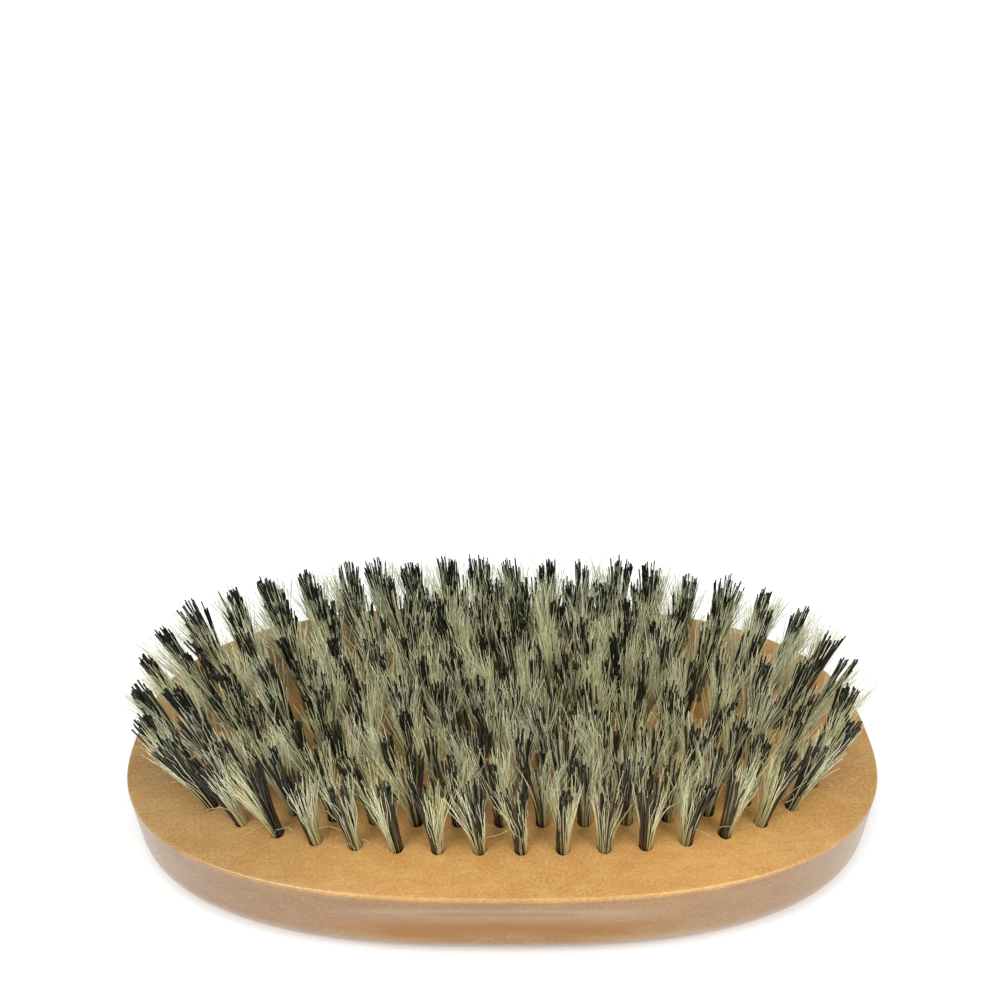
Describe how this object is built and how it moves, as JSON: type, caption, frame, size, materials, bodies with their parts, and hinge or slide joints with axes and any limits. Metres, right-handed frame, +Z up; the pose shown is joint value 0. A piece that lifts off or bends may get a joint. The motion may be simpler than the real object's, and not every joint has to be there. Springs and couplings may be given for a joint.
{
  "type": "beard brush",
  "caption": "Oval handleless palm brush: a wooden block with a flat face, drilled for upright tufts of mixed stiff and soft bristle, each held by a hidden wire anchor.",
  "frame": {"origin": "centre of the flat back, the face the brush rests on", "axes": "+X along the length, +Y across the width, +Z up out of the bristle face"},
  "size_m": [0.125, 0.0646, 0.033],
  "materials": {
    "wood": "light wood under clear satin lacquer, fine straight grain along the length",
    "bristle": "stiff black bristle mixed with finer pale straw-coloured hair, blunt ends",
    "anchor_wire": "flat drawn wire"
  },
  "bodies": {
    "root": {"handle_block": "wood", "front_tuft_01": "bristle", "front_anchor_01": "anchor_wire", "front_tuft_02": "bristle", "front_anchor_02": "anchor_wire", "front_tuft_03": "bristle", "front_anchor_03": "anchor_wire", "front_tuft_04": "bristle", "front_anchor_04": "anchor_wire", "front_tuft_05": "bristle", "front_anchor_05": "anchor_wire", "front_tuft_06": "bristle", "front_anchor_06": "anchor_wire", "front_tuft_07": "bristle", "front_anchor_07": "anchor_wire", "front_tuft_08": "bristle", "front_anchor_08": "anchor_wire", "front_tuft_09": "bristle", "front_anchor_09": "anchor_wire", "front_tuft_10": "bristle", "front_anchor_10": "anchor_wire", "front_tuft_11": "bristle", "front_anchor_11": "anchor_wire", "front_tuft_12": "bristle", "front_anchor_12": "anchor_wire", "front_tuft_13": "bristle", "front_anchor_13": "anchor_wire", "front_tuft_14": "bristle", "front_anchor_14": "anchor_wire", "front_tuft_15": "bristle", "front_anchor_15": "anchor_wire", "front_tuft_16": "bristle", "front_anchor_16": "anchor_wire", "right_end_tuft_01": "bristle", "right_end_tuft_02": "bristle", "right_end_tuft_03": "bristle", "right_end_tuft_04": "bristle", "right_end_tuft_05": "bristle", "left_end_tuft_01": "bristle", "left_end_tuft_02": "bristle", "left_end_tuft_03": "bristle", "left_end_tuft_04": "bristle", "left_end_tuft_05": "bristle", "back_tufts": "bristle", "inner_ring_01_front_tufts": "bristle", "inner_ring_01_right_tufts": "bristle", "inner_ring_01_back_tufts": "bristle", "inner_ring_01_left_tufts": "bristle", "inner_ring_02_front_tufts": "bristle", "inner_ring_02_right_tufts": "bristle", "inner_ring_02_back_tufts": "bristle", "inner_ring_02_left_tufts": "bristle", "inner_ring_03_front_tufts": "bristle", "inner_ring_03_back_tufts": "bristle", "inner_ring_04_front_tufts": "bristle", "inner_ring_04_back_tufts": "bristle", "middle_row_tufts": "bristle"}
  },
  "joints": []
}
